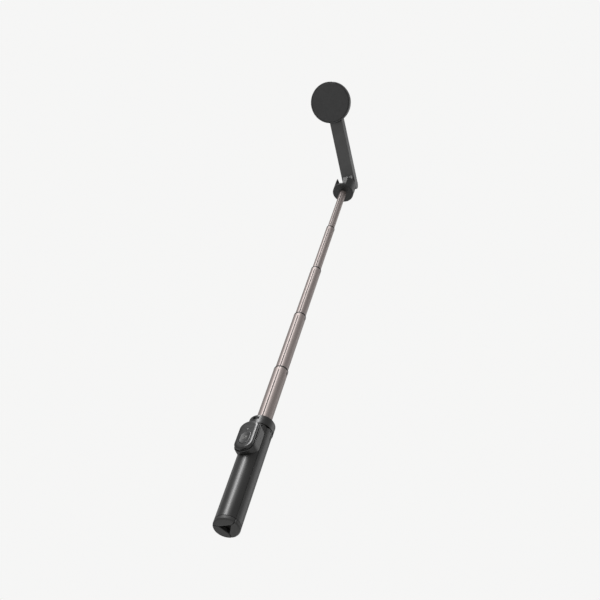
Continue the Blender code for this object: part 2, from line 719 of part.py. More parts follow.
def make_head_fork():
    chamfer, rim, top = HEAD_CHAMFER, HEAD_RIM, HEAD_HEIGHT
    profile = [(0, 0), (HEAD_RADIUS - chamfer, 0), (HEAD_RADIUS, chamfer)]
    profile += [(HEAD_RADIUS, top - rim), (HEAD_RADIUS - rim, top), (0, top)]
    far = HEAD_RADIUS + OVER
    slot = box((-CHEEK_X, -far, HEAD_BASE), (CHEEK_X, far, top + OVER))
    lug = [(HEAD_LUG_FRONT, HEAD_BASE - OVER), (PIN_Y + HEAD_LUG_RADIUS, HEAD_BASE - OVER)]
    lug += arc(PIN_Y, PIN_HEIGHT, HEAD_LUG_RADIUS, 0, 180, 10)
    lug.append((HEAD_LUG_FRONT, PIN_HEIGHT - HEAD_LUG_NECK))
    bore = on_pin(disc(PIN_RADIUS + PLAY, -far, far, 20))
    sinks = []
    for side in (-1, 1):
        low, high = sorted((side * (CHEEK_X + PIN_SETBACK), side * far))
        sinks.append(on_pin(disc(PIN_HEAD_RADIUS + GAP, low, high, 24)))
    socket = disc(TUBE_RADII[-1] + SOCKET_PLAY, -OVER, SOCKET_DEPTH)
    screw_hole = disc(HEAD_SCREW_RADIUS + SOCKET_PLAY, 0, HEAD_BASE + OVER, SMALL_SIDES)
    screw_sink = disc(HEAD_SCREW_HEAD + GAP, HEAD_BASE - HEAD_SCREW_SINK, HEAD_BASE + OVER, SMALL_SIDES)
    shapes = cut(slot) + join(middle_slab(lug, HEAD_LUG_WIDTH)) + cut(bore, *sinks, socket, screw_hole, screw_sink)
    add_part("head_fork", lathe(profile, WIDE_SIDES), "head_black", "head", shapes)


def make_head():
    make_head_fork()
    top = SOCKET_DEPTH - GAP
    plug = disc(TUBE_RADII[-1] - TUBE_WALL - TUBE_PLAY, -HEAD_PLUG_LENGTH, top)
    tapped = disc(HEAD_SCREW_RADIUS + SOCKET_PLAY, -HEAD_SCREW_LENGTH - OVER, top + OVER, SMALL_SIDES)
    add_part("head_plug", plug, "steel", "head", cut(tapped))
    seat = HEAD_BASE - HEAD_SCREW_SINK + CLOSE
    steps = [(HEAD_SCREW_RADIUS, -HEAD_SCREW_LENGTH, seat), (HEAD_SCREW_HEAD, seat, HEAD_BASE + BITE)]
    add_part("head_screw", stack(steps, SMALL_SIDES), "steel", "head")

    end = PIN_REACH + PIN_HEAD
    pin = stack([(PIN_RADIUS, -end, PIN_REACH), (PIN_HEAD_RADIUS, PIN_REACH, end)], 20)
    add_part("hinge_pin", on_pin(pin), "steel", "head")
    nut = ring(PIN_RADIUS + PLAY, PIN_HEAD_RADIUS, -end, -PIN_REACH, 20)
    add_part("hinge_nut", on_pin(nut), "steel", "head")
    near, far = CHEEK_X - PLAY - WASHER, CHEEK_X - PLAY
    for name, low, high in (("left", -far, -near), ("right", near, far)):
        washer = ring(PIN_RADIUS + PLAY, WASHER_RADIUS, low, high, 20)
        add_part(f"hinge_washer_{name}", on_pin(washer), "bush_nylon", "head")


# ---- the arm, drawn from the hinge pin: y runs along it and z out of the side that holds the phone ----


def tongue(width, start):
    """The arm's outline: square at one end and round about the puck's axis."""
    half = width / 2
    return [(half, start), *arc(0, ARM_LENGTH, half, 0, 180, 12), (-half, start)]


def arm_screws():
    return ARM_COVER_START + COVER_SCREW_INSET, ARM_LENGTH - COVER_SCREW_INSET


def arm_side():
    """The arm's side view, in (y, z), with its round heel and the seat of its cover."""
    heel = arc(ARM_START + ARM_HEEL, ARM_BACK + ARM_HEEL, ARM_HEEL, 180, 270, 8)
    seat = ARM_COVER_START - GAP
    low = ARM_PARTING + ARM_SPLIT
    end = ARM_LENGTH + ARM_WIDTH
    return [(ARM_START, ARM_FRONT), *heel, (seat, ARM_BACK), (seat, low), (end, low), (end, ARM_FRONT)]


def neck_side():
    """The neck from the arm's front face down to the hinge pin, in (y, z)."""
    inside = ARM_FRONT - OVER
    near = ARM_START + BITE
    across, along = NECK_WAIST
    knee_y, knee_z = NECK_KNEE[0], ARM_FRONT + NECK_KNEE[1]
    back = [(-across, ARM_FRONT + along), (near, ARM_FRONT + OVER), (near, inside)]
    front = [(NECK_BROW, inside - BITE), (knee_y, knee_z), (TONGUE_RADIUS + across, knee_z + along)]
    return arc(0, 0, TONGUE_RADIUS, -20, 200, 14) + back + front


def make_arm():
    wide = ARM_WIDTH + GAP
    side = middle_slab(arm_side(), ARM_WIDTH)
    outline = prism(tongue(ARM_WIDTH + BITE / 2, ARM_START - OVER), ARM_BACK - OVER, ARM_FRONT + OVER)
    pocket = prism(tongue(ARM_WIDTH - 2 * ARM_WALL, ARM_COVER_START + ARM_WALL), ARM_PARTING - OVER, ARM_CEILING)
    clear = HEAD_LUG_RADIUS + 2 * GAP
    half = PRONG_GAP / 2
    lug_slot = box((-half, -wide, -clear), (half, wide, clear + TONGUE_RADIUS))
    pin_bore = along_x(disc(PIN_RADIUS + PLAY, -wide, wide, 20))
    post_bore = moved(disc(POST_RADIUS + PLAY, ARM_PARTING, ARM_FRONT + OVER, 24), 0, ARM_LENGTH, 0)
    hole_top = ARM_CEILING + COVER_SCREW_HEAD
    towers = []
    holes = []
    for y in arm_screws():
        towers.append(moved(disc(TOWER_RADIUS, ARM_PARTING + ARM_SPLIT, ARM_CEILING + OVER, SMALL_SIDES), 0, y, 0))
        hole = disc(COVER_SCREW_RADIUS + CLOSE, ARM_PARTING - OVER, hole_top, SMALL_SIDES)
        holes.append(moved(hole, 0, y, 0))
    shapes = keep(outline) + cut(pocket) + join(*towers, middle_slab(neck_side(), TONGUE_WIDTH))
    add_part("arm_frame", side, "arm_grey", "arm", shapes + cut(lug_slot, pin_bore, post_bore, *holes))

    sunk = []
    head = ARM_BACK + COVER_SCREW_SINK
    for name, y in zip(("lower", "upper"), arm_screws()):
        steps = [(COVER_SCREW_HEAD + CLOSE, ARM_BACK - OVER, head), (COVER_SCREW_RADIUS + CLOSE, head, 0)]
        sunk.append(moved(stack(steps, SMALL_SIDES), 0, y, 0))
        seat = head - BITE
        steps = [(COVER_SCREW_HEAD, ARM_BACK + BITE, seat), (COVER_SCREW_RADIUS, seat, hole_top - GAP)]
        add_part(f"arm_screw_{name}", moved(stack(steps, SMALL_SIDES), 0, y, 0), "steel", "arm")
    cover = prism(tongue(ARM_WIDTH, ARM_COVER_START), ARM_BACK, ARM_PARTING)
    add_part("arm_cover", cover, "arm_grey", "arm", cut(*sunk))

    low = ARM_PARTING + EAR_BITE
    flange = ARM_FRONT + PUCK_INSIDE + GAP
    post = stack([(POST_RADIUS, low, flange), (POST_FLANGE, flange, flange + POST_FLANGE_THICKNESS)], 24)
    add_part("swivel_post", moved(post, 0, ARM_LENGTH, 0), "steel", "arm")
    clip = ring(POST_RADIUS + PLAY, POST_FLANGE, ARM_CEILING - GAP - POST_FLANGE_THICKNESS, ARM_CEILING - GAP, 24)
    add_part("swivel_clip", moved(clip, 0, ARM_LENGTH, 0), "steel", "arm")


# ---- the magnetic puck, drawn from the arm's front face, with z towards the phone ----


def make_puck():
    low, top, floor, inner = PUCK_CLEARANCE, PUCK_TOP, PUCK_INSIDE, PUCK_BORE
    bore = POST_RADIUS + CLOSE
    edge = arc(PUCK_RADIUS - PUCK_ROUND, low + PUCK_ROUND, PUCK_ROUND, -90, 0, 3)
    lip = [(PUCK_RADIUS, top - PUCK_EDGE), (PUCK_RADIUS - PUCK_EDGE, top)]
    shell = [(bore, low), *edge, *lip, (inner, top), (inner, floor), (bore, floor)]
    add_part("puck_case", lathe(shell, WIDE_SIDES), "puck_black", "puck")
    outer = inner - CLOSE
    hollow = outer - MAGNET_WIDTH
    low = floor + CLOSE
    high = low + YOKE_THICKNESS
    add_part("puck_yoke", ring(hollow - YOKE_LIP, outer, low, high, WIDE_SIDES), "steel", "puck")
    pad = top + PAD_PROUD - PAD_THICKNESS
    add_part("magnet_ring", ring(hollow, outer, high + BITE, pad - GAP, WIDE_SIDES), "magnet_nickel", "puck")
    add_part("face_pad", disc(outer, pad, top + PAD_PROUD, WIDE_SIDES), "pad_silicone", "puck")


def make_frames():
    add_frame("handle")
    pivot = (0, -HINGE_RADIUS, HINGE_Z)
    for name, angle in LEGS:
        turn = Matrix.Rotation(radians(angle), 4, "Z")
        add_frame(f"leg_{name}", "handle", turn @ Vector(pivot), turn, pivot)
    add_frame("cradle", "leg_front", (0, 0, REMOTE_Z), FACE_ON)
    add_frame("remote", "cradle", (0, -REMOTE_BACK, REMOTE_Z), FACE_ON)
    add_frame("button", "remote", (0, -REMOTE_BACK, REMOTE_Z), FACE_ON)
    parent = "handle"
    for i in range(1, TUBE_COUNT + 1):
        at = (0, 0, tube_bottom(i))
        add_frame(f"tube_{i}", parent, at, None, at)
        parent = f"tube_{i}"
    add_frame("head", parent, (0, 0, HEAD_Z))
    lean = Matrix.Rotation(radians(ARM_ANGLE + 90), 4, "X")
    pin = Vector((0, PIN_Y, HEAD_Z + PIN_HEIGHT))
    add_frame("arm", "head", pin, lean)
    add_frame("puck", "arm", pin + lean @ Vector((0, ARM_LENGTH, ARM_FRONT)), lean)


clear_scene()
make_finishes()
make_frames()
make_core()
for leg_name, _ in LEGS:
    make_leg(leg_name)
make_cradle()
make_remote()
for number in range(1, TUBE_COUNT + 1):
    make_tube(number)
make_head()
make_arm()
make_puck()
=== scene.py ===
"""The looks of a telescopic phone stick with three fold-out legs, a remote and a tilting arm."""

import json
from math import cos, pi, radians, sin

import bmesh
import bpy
from mathutils import Matrix, Vector


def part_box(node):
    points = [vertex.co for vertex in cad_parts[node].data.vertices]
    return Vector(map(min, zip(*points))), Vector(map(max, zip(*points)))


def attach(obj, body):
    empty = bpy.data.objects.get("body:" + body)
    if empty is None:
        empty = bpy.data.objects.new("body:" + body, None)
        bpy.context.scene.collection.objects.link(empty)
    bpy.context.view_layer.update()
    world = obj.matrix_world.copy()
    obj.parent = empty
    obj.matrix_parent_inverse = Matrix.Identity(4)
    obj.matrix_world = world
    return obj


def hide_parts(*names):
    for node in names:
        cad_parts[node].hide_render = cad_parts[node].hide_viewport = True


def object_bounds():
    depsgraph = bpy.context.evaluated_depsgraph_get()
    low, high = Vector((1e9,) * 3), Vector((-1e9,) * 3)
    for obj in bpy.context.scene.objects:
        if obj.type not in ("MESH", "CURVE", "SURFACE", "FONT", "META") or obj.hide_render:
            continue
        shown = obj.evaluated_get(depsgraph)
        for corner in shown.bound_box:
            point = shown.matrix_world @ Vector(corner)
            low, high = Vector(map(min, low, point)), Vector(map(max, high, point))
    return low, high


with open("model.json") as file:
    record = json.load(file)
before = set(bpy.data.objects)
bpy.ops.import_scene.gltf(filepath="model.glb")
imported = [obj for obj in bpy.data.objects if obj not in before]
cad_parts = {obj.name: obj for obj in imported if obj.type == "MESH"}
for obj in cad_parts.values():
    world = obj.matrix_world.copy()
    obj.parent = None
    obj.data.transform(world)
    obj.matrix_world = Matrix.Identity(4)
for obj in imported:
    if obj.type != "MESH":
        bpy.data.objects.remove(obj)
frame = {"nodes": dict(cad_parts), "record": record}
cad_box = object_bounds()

MM = 0.001

# ---- materials ----

SKINS = {
    # base colour, metallic, roughness, coat, grain size mm, bump depth mm, lengthwise stretch, edge lift
    "satin_black": ((0.0115, 0.0112, 0.0112), 0.0, 0.37, 0.0, 0.16, 0.003, 30.0, 0.035),
    "collar_black": ((0.0095, 0.0093, 0.0093), 0.0, 0.36, 0.0, 0.22, 0.008, 1.0, 0.05),
    "hub_black": ((0.006, 0.006, 0.006), 0.0, 0.50, 0.0, 0.35, 0.015, 1.0, 0.02),
    "foot_rubber": ((0.013, 0.0127, 0.0125), 0.0, 0.55, 0.0, 0.30, 0.025, 1.0, 0.03),
    "remote_shell": ((0.0085, 0.0085, 0.0087), 0.0, 0.33, 0.05, 0.25, 0.006, 1.0, 0.05),
    "button_grey": ((0.012, 0.012, 0.0125), 0.0, 0.36, 0.05, 0.18, 0.008, 1.0, 0.05),
    "lens_white": ((0.30, 0.30, 0.29), 0.0, 0.25, 0.30, 0.30, 0.004, 1.0, 0.0),
    "tube_metal": ((0.262, 0.226, 0.216), 0.80, 0.50, 0.0, 0.16, 0.003, 60.0, 0.10),
    "steel": ((0.50, 0.50, 0.49), 1.0, 0.26, 0.0, 0.20, 0.004, 8.0, 0.06),
    "bush_nylon": ((0.010, 0.0095, 0.009), 0.0, 0.45, 0.0, 0.40, 0.010, 1.0, 0.02),
    "head_black": ((0.0075, 0.0075, 0.0077), 0.0, 0.42, 0.04, 0.24, 0.012, 1.0, 0.05),
    "arm_grey": ((0.042, 0.042, 0.042), 0.30, 0.36, 0.05, 0.20, 0.007, 6.0, 0.10),
    "puck_black": ((0.010, 0.010, 0.0103), 0.0, 0.42, 0.05, 0.24, 0.012, 1.0, 0.05),
    "magnet_nickel": ((0.60, 0.59, 0.56), 1.0, 0.22, 0.0, 0.30, 0.003, 1.0, 0.04),
    "pad_silicone": ((0.014, 0.014, 0.0145), 0.0, 0.62, 0.0, 0.30, 0.020, 1.0, 0.02),
    "board_green": ((0.010, 0.075, 0.032), 0.0, 0.40, 0.10, 0.50, 0.010, 1.0, 0.04),
}
SPECULAR = {"bush_nylon": 0.2, "head_black": 0.35, "hub_black": 0.3}
PLAIN_SPECULAR = 0.5
COAT_ROUGHNESS = 0.18
EDGE_RADIUS = 0.45 * MM
EDGE_SAMPLES = 4
EDGE_LEAN = (0.995, 0.80)  # cosine of a rounded normal's lean, where wear starts and where it is full
NOISE_MIDDLE = (0.3, 0.7)  # the part of a noise's values that is spread over a range
NOISE_ROUGHNESS = 0.6
SHADE_SIZE = 14.0 * MM
SMEAR_SIZE = 3.2 * MM
GRAIN_DETAIL, SHADE_DETAIL, SMEAR_DETAIL = 3.0, 4.0, 5.0
SHADE_RANGE = (0.86, 1.14)  # times the base colour
SPECK_RANGE = (0.93, 1.07)
WEAR_RANGE = (0.25, 1.0)
GLOSS_RANGE = (0.86, 1.16)  # times the roughness


def link(tree, out_node, out_name, in_node, in_name):
    tree.links.new(out_node.outputs[out_name], in_node.inputs[in_name])


def node(tree, kind, **values):
    made = tree.nodes.new(kind)
    for name, value in values.items():
        setattr(made, name, value)
    return made


def map_range(tree, source, out_name, taken, given):
    made = node(tree, "ShaderNodeMapRange")
    for name, value in zip(("From Min", "From Max", "To Min", "To Max"), (*taken, *given)):
        made.inputs[name].default_value = value
    link(tree, source, out_name, made, "Value")
    return made


def spread(tree, source, given):
    """Maps the middle of a noise onto a range."""
    return map_range(tree, source, "Fac", NOISE_MIDDLE, given)


def noise(tree, place, size, detail):
    made = node(tree, "ShaderNodeTexNoise")
    made.inputs["Scale"].default_value = 1.0 / size
    made.inputs["Detail"].default_value = detail
    made.inputs["Roughness"].default_value = NOISE_ROUGHNESS
    link(tree, place, "Vector", made, "Vector")
    return made


def times(tree, one, two):
    made = node(tree, "ShaderNodeMath", operation="MULTIPLY")
    link(tree, one, "Result", made, 0)
    link(tree, two, "Result", made, 1)
    return made


def edge_mask(tree):
    """1 on a sharp edge, 0 on a flat face: how far a rounded normal leans away from the real one."""
    rounded = node(tree, "ShaderNodeBevel", samples=EDGE_SAMPLES)
    rounded.inputs["Radius"].default_value = EDGE_RADIUS
    geometry = node(tree, "ShaderNodeNewGeometry")
    dot = node(tree, "ShaderNodeVectorMath", operation="DOT_PRODUCT")
    link(tree, rounded, "Normal", dot, 0)
    link(tree, geometry, "Normal", dot, 1)
    return map_range(tree, dot, "Value", EDGE_LEAN, (0.0, 1.0))


def make_skin(name, values):
    """One slot's finish: a fine grain, slow changes of tone, uneven gloss and paler, worn edges."""
    base, metallic, roughness, coat, grain, depth, stretch, lift = values
    skin = bpy.data.materials.new("look_" + name)
    skin.use_nodes = True
    tree = skin.node_tree
    shader = tree.nodes["Principled BSDF"]
    shader.inputs["Metallic"].default_value = metallic
    shader.inputs["Coat Weight"].default_value = coat
    shader.inputs["Coat Roughness"].default_value = COAT_ROUGHNESS
    shader.inputs["Specular IOR Level"].default_value = SPECULAR.get(name, PLAIN_SPECULAR)
    coords = node(tree, "ShaderNodeTexCoord")
    place = node(tree, "ShaderNodeMapping")
    place.inputs["Scale"].default_value = (1.0, 1.0, 1.0 / stretch)
    link(tree, coords, "Object", place, "Vector")
    fine = noise(tree, place, grain * MM, GRAIN_DETAIL)
    soft = noise(tree, place, SHADE_SIZE, SHADE_DETAIL)
    smear = noise(tree, place, SMEAR_SIZE, SMEAR_DETAIL)

    tone = times(tree, spread(tree, soft, SHADE_RANGE), spread(tree, fine, SPECK_RANGE))
    colour = node(tree, "ShaderNodeVectorMath", operation="SCALE")
    colour.inputs[0].default_value = base
    link(tree, tone, 0, colour, "Scale")

    worn = node(tree, "ShaderNodeMix", data_type="RGBA")
    worn.inputs["B"].default_value = (*[c + lift for c in base], 1.0)
    mask = times(tree, edge_mask(tree), spread(tree, smear, WEAR_RANGE))
    link(tree, mask, 0, worn, "Factor")
    link(tree, colour, "Vector", worn, "A")
    link(tree, worn, "Result", shader, "Base Color")

    gloss = spread(tree, smear, [roughness * share for share in GLOSS_RANGE])
    link(tree, gloss, "Result", shader, "Roughness")
    bump = node(tree, "ShaderNodeBump")
    bump.inputs["Strength"].default_value = 1.0
    bump.inputs["Distance"].default_value = depth * MM
    link(tree, fine, "Fac", bump, "Height")
    link(tree, bump, "Normal", shader, "Normal")
    return skin


LOOKS = {name: make_skin(name, values) for name, values in SKINS.items()}

# ---- finer copies of the CAD nodes ----

SMOOTH_ANGLE = radians(34)
FLAT_ANGLE = radians(0.4)
WELD = 0.002 * MM
BEVEL_STEPS = 2
SHADING_WEIGHT = 60
BODY_OF = {name: body for body, names in frame["record"]["behaviour"]["bodies"].items() for name in names}


def slot_of(name):
    return frame["nodes"][name].material_slots[0].material.name.split(".")[0]


def put(piece, body, slot_name, *nodes):
    """A finished piece: it rides on a body, takes a slot's finish and stands for CAD nodes."""
    piece.data.materials.clear()
    piece.data.materials.append(LOOKS[slot_name])
    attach(piece, body)
    if nodes:
        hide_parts(*nodes)


def shade_smooth(mesh):
    mesh.polygons.foreach_set("use_smooth", [True] * len(mesh.polygons))
    mesh.set_sharp_from_angle(angle=SMOOTH_ANGLE)


def new_object(name, bm):
    mesh = bpy.data.meshes.new(name)
    bm.to_mesh(mesh)
    bm.free()
    old_normals = mesh.attributes.get("custom_normal")
    if old_normals:
        mesh.attributes.remove(old_normals)
    shade_smooth(mesh)
    made = bpy.data.objects.new(name, mesh)
    bpy.context.scene.collection.objects.link(made)
    return made


def soften(piece, width):
    """Rounds a piece's sharp edges, by a width in mm."""
    bevel = piece.modifiers.new("soft_edges", "BEVEL")
    bevel.width = width * MM
    bevel.segments = BEVEL_STEPS
    bevel.limit_method = "ANGLE"
    bevel.angle_limit = SMOOTH_ANGLE
    bevel.use_clamp_overlap = True
    bevel.miter_outer = "MITER_ARC"
    even = piece.modifiers.new("even_shading", "WEIGHTED_NORMAL")
    even.keep_sharp = True
    even.weight = SHADING_WEIGHT


def cad_mesh(name):
    """A copy of a CAD node's mesh, with its coplanar triangles joined."""
    bm = bmesh.new()
    bm.from_mesh(frame["nodes"][name].data)
    bmesh.ops.remove_doubles(bm, verts=bm.verts, dist=WELD)
    bmesh.ops.dissolve_limit(bm, angle_limit=FLAT_ANGLE, verts=bm.verts, edges=bm.edges)
    return bm


def fine_copy(name, width):
    piece = new_object("fine_" + name, cad_mesh(name))
    soften(piece, width)
    put(piece, BODY_OF[name], slot_of(name), name)


EDGES = {  # how wide each copy's edges are rounded, in mm
    "collar": 0.25, "foot_front": 0.45, "foot_left": 0.45, "foot_right": 0.45, "head_fork": 0.3, "hub": 0.2,
    "leg_front": 0.3, "leg_left": 0.3, "leg_right": 0.3, "remote_cradle": 0.25, "remote_base": 0.2,
    "remote_led": 0.1, "arm_frame": 0.7, "arm_cover": 0.3, "puck_case": 0.3, "puck_yoke": 0.2,
    "magnet_ring": 0.2, "face_pad": 0.25, "swivel_post": 0.15, "swivel_clip": 0.1, "head_plug": 0.1,
    "head_screw": 0.1, "hinge_pin": 0.2, "hinge_nut": 0.2, "arm_screw_lower": 0.15, "arm_screw_upper": 0.15,
    "cradle_screw_lower": 0.1, "cradle_screw_upper": 0.1,
}
for name, width in EDGES.items():
    fine_copy(name, width)

# ---- skins through rings of points ----

CIRCLE_STEPS = 32


def join_rings(bm, one, two):
    for i in range(len(one)):
        bm.faces.new((one[i - 1], one[i], two[i], two[i - 1]))


def closed_sweep(bm, rings):
    """Joins rings of vertices, each to the next and the last to the first, into one closed skin."""
    for one, two in zip(rings, rings[1:] + rings[:1]):
        join_rings(bm, one, two)
    bmesh.ops.recalc_face_normals(bm, faces=bm.faces)


def capped_sweep(bm, rings):
    """Joins rings of vertices, each to the next, and closes the first and the last."""
    for one, two in zip(rings, rings[1:]):
        join_rings(bm, one, two)
    bm.faces.new(rings[0])
    bm.faces.new(rings[-1])
    bmesh.ops.recalc_face_normals(bm, faces=bm.faces)


def circle(radius, middle=0.0):
    """A round outline, across and up, with its middle this far up."""
    turns = [2 * pi * i / CIRCLE_STEPS for i in range(CIRCLE_STEPS)]
    return [(radius * cos(t), middle + radius * sin(t)) for t in turns]


# ---- the telescopic tubes ----

TUBES = ("tube_1", "tube_2", "tube_3", "tube_4", "tube_5")
TUBE_SIDES = 120
TUBE_ROWS = 40
TUBE_WALL = 0.45 * MM
TUBE_ROUND = 0.12 * MM
LIP_GAP = 0.12 * MM  # between a tube's lip and the tube that slides in it
LIP_HEIGHT = 1.4 * MM
LIP_ROWS = (1.9, 1.0)  # the last rows under the lip's top, in lip heights
GROOVE_AT = radians(-75)  # the groove that keeps the tubes from turning
GROOVE_HALF = 0.62 * MM
GROOVE_DEPTH = 0.40 * MM
GROOVE_ENDS = 3.0 * MM
GROOVE_STEPS = (0.45, 0.8, 0.95, 1.05)  # extra lines beside its middle, in half widths
RING_HEIGHT = 1.8 * MM
RING_PROUD = 0.05 * MM
DETENT_AT = radians(7)
DETENT_DROP = 5.2 * MM
DETENT_SIZE = (1.5 * MM, 1.9 * MM)
DETENT_HEIGHTS = ((1.0, -0.2), (1.0, 0.01), (0.8, 0.035))  # share of its width, and mm above the tube
GROOVE_SHADE_HALF = 0.42 * MM  # half the width of a dark strip in the groove's floor, painted shade that darkens the groove
GROOVE_SHADE_HEIGHTS = ((1.0, -0.42), (1.0, -0.2), (0.8, -0.16))
RING_SIDES = 96
PATCH_STEPS = 12


def groove_at(angle, radius, share):
    """How far the groove dents the wall at this angle; share fades its ends out."""
    away = abs((angle - GROOVE_AT + pi) % (2 * pi) - pi) * radius
    return GROOVE_DEPTH * share * max(0.0, 1 - (away / GROOVE_HALF) ** 2) ** 0.5


def tube_ring(bm, radius, z, share):
    turns = [GROOVE_AT + 2 * pi * (i / TUBE_SIDES) for i in range(TUBE_SIDES)]
    turns += [GROOVE_AT + side * step * GROOVE_HALF / radius for side in (-1, 1) for step in GROOVE_STEPS]
    turns = sorted(t % (2 * pi) for t in turns)
    dented = [(t, radius - groove_at(t, radius, share)) for t in turns]
    return [bm.verts.new((r * cos(t), r * sin(t), z)) for t, r in dented]


def fine_tube(name, inner):
    """The drawn tube with its guide groove; inner is the radius of the tube that slides in it, or None."""
    low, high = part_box(name)
    radius = high.x
    bore = radius - TUBE_WALL
    bm = bmesh.new()
    span = high.z - low.z
    fade = GROOVE_ENDS / 2
    middle = {GROOVE_ENDS + (span - 2 * GROOVE_ENDS) * i / TUBE_ROWS for i in range(1, TUBE_ROWS)}
    places = sorted({0.0, fade, GROOVE_ENDS, span - GROOVE_ENDS, span - fade} | middle)
    if inner:
        places = [z for z in places if z < span - 2 * LIP_HEIGHT]
        places += [span - rows * LIP_HEIGHT for rows in LIP_ROWS]
    last = places[-1]

    def share(z):
        return max(0.0, min(1.0, (z - fade) / fade, (last - z) / fade))

    rings = [tube_ring(bm, bore, low.z, 0), tube_ring(bm, radius - TUBE_ROUND, low.z, 0)]
    rings += [tube_ring(bm, radius, low.z + z, share(z)) for z in places[1:]]
    if inner:
        lip = inner + LIP_GAP
        under = high.z - LIP_HEIGHT
        ends = [(radius, high.z - TUBE_ROUND), (radius - TUBE_ROUND, high.z)]
        ends += [(lip, high.z), (lip, under), (bore, under)]
    else:
        ends = [(radius, high.z), (bore, high.z)]
    rings += [tube_ring(bm, r, z, 0) for r, z in ends]
    rings += [tube_ring(bm, bore, low.z + z, share(z)) for z in reversed(places[1:-1])]
    closed_sweep(bm, rings)
    put(new_object("drawn_" + name, bm), name, "tube_metal", name)
    return radius, high.z


def turned_ring(name, profile, body, slot_name):
    """A ring about the stick's axis, through a profile of (radius, z) points."""
    bm = bmesh.new()
    turns = [2 * pi * i / RING_SIDES for i in range(RING_SIDES)]
    closed_sweep(bm, [[bm.verts.new((r * cos(t), r * sin(t), z)) for t in turns] for r, z in profile])
    put(new_object(name, bm), body, slot_name)


def patch(name, radius, angle, z, half_size, heights, body):
    """A small piece with round ends on a tube.

    half_size is half its width and half its length; heights are pairs of a share of it and mm above the tube.
    """
    across, along = half_size
    straight = along - across
    round_end = [pi * i / PATCH_STEPS for i in range(PATCH_STEPS + 1)]
    outline = [(across * cos(t), straight + across * sin(t)) for t in round_end]
    outline += [(-x, -y) for x, y in outline]
    bm = bmesh.new()
    rings = []
    for share, height in heights:
        r = radius + height * MM
        places = [(angle + share * x / radius, z + y) for x, y in outline]
        rings.append([bm.verts.new((r * cos(a), r * sin(a), up)) for a, up in places])
    capped_sweep(bm, rings)
    put(new_object(name, bm), body, "bush_nylon")


def mouth_ring(name, radius, inner, top):
    """The dark ring round a tube's mouth."""
    outer, inside, lip = radius + RING_PROUD, radius - RING_PROUD, inner + LIP_GAP
    low, high, half = top - RING_HEIGHT, top + RING_PROUD, top + RING_PROUD / 2
    profile = [(inside, low), (outer, low), (outer, high), (lip, high), (lip, half), (inside, half)]
    turned_ring("mouth_ring_" + name, profile, name, "bush_nylon")


inner_radii = [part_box(name)[1].x for name in TUBES[1:]] + [None]
for name, inner in zip(TUBES, inner_radii):
    radius, top = fine_tube(name, inner)
    if inner:
        mouth_ring(name, radius, inner, top)
        patch("detent_" + name, radius, DETENT_AT, top - DETENT_DROP, DETENT_SIZE, DETENT_HEIGHTS, name)
    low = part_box(name)[0].z
    # a dark strip along the groove's floor: painted shade, standing in for the groove's own shadow
    groove_shade = (GROOVE_SHADE_HALF, (top - low) / 2 - 2 * GROOVE_ENDS)
    patch("groove_shade_strip_" + name, radius, GROOVE_AT, (top + low) / 2, groove_shade, GROOVE_SHADE_HEIGHTS, name)

# ---- the remote's face ----

REMOTE_CORNER = 9.2 * MM
REMOTE_WALL = 1.2 * MM
REMOTE_EDGE = 0.12  # mm, of its softened edges
CROWN = 1.3 * MM  # how far the cover's face drops to its edge
CROWN_WIDTH = 3.8 * MM
CROWN_STEPS = 8
CORNER_STEPS = 14
CUTTER_REACH = 10 * MM
LED_HOLE = 0.85 * MM
BUTTON_GAP = 0.3 * MM
BUTTON_FLANGE = 0.8 * MM
BUTTON_LEDGE = 0.4 * MM  # the flange's thickness
BUTTON_ROUND = ((0.0, 0.3), (0.09, 0.09), (0.3, 0.0), (0.7, 0.0))  # mm in from its edge, back from its face
BUTTON_DISH = 0.35 * MM  # how deep the button's middle is dished
DISH_WIDTH = 4.6  # mm, from its rim to its floor
DISH_STEPS = 8
OVAL_STEPS = 32
cover_low, cover_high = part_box("remote_cover")
COVER = (cover_low + cover_high) / 2
button_low, button_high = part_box("shutter_button")
BUTTON = (button_low + button_high) / 2
BUTTON_FACE = button_low.y
BUTTON_HALF_WIDTH = (button_high.x - button_low.x) / 2 - BUTTON_FLANGE
BUTTON_HALF_LENGTH = (button_high.z - button_low.z) / 2 - BUTTON_FLANGE


def pill(inset):
    """The remote's outline, across and up from its middle, this far inside its edge."""
    x = (cover_high.x - cover_low.x) / 2 - REMOTE_CORNER
    z = (cover_high.z - cover_low.z) / 2 - REMOTE_CORNER
    radius = REMOTE_CORNER - inset
    points = []
    for cx, cz, start in ((x, z, 0), (-x, z, 90), (-x, -z, 180), (x, -z, 270)):
        turns = [radians(start + 90 * i / CORNER_STEPS) for i in range(CORNER_STEPS + 1)]
        points += [(cx + radius * cos(t), cz + radius * sin(t)) for t in turns]
    return points


def oval(grow):
    """The button's outline, this far outside its edge, across and up from the remote's middle."""
    radius = BUTTON_HALF_WIDTH + grow
    straight = max(0.0, BUTTON_HALF_LENGTH - BUTTON_HALF_WIDTH)
    middle = BUTTON.z - COVER.z
    top = [pi * i / OVAL_STEPS for i in range(OVAL_STEPS + 1)]
    points = [(radius * cos(t), middle + straight + radius * sin(t)) for t in top]
    return points + [(-x, 2 * middle - z) for x, z in points]


def standing(name, layers):
    """A closed solid through outlines in x and z, each given with its y."""
    bm = bmesh.new()
    rings = [[bm.verts.new((COVER.x + x, y, COVER.z + z)) for x, z in outline] for outline, y in layers]
    capped_sweep(bm, rings)
    return new_object(name, bm)


def peg(name, outline):
    """A cutter through the remote's face."""
    return standing(name, [(outline, cover_low.y + CUTTER_REACH), (outline, cover_low.y - CUTTER_REACH)])


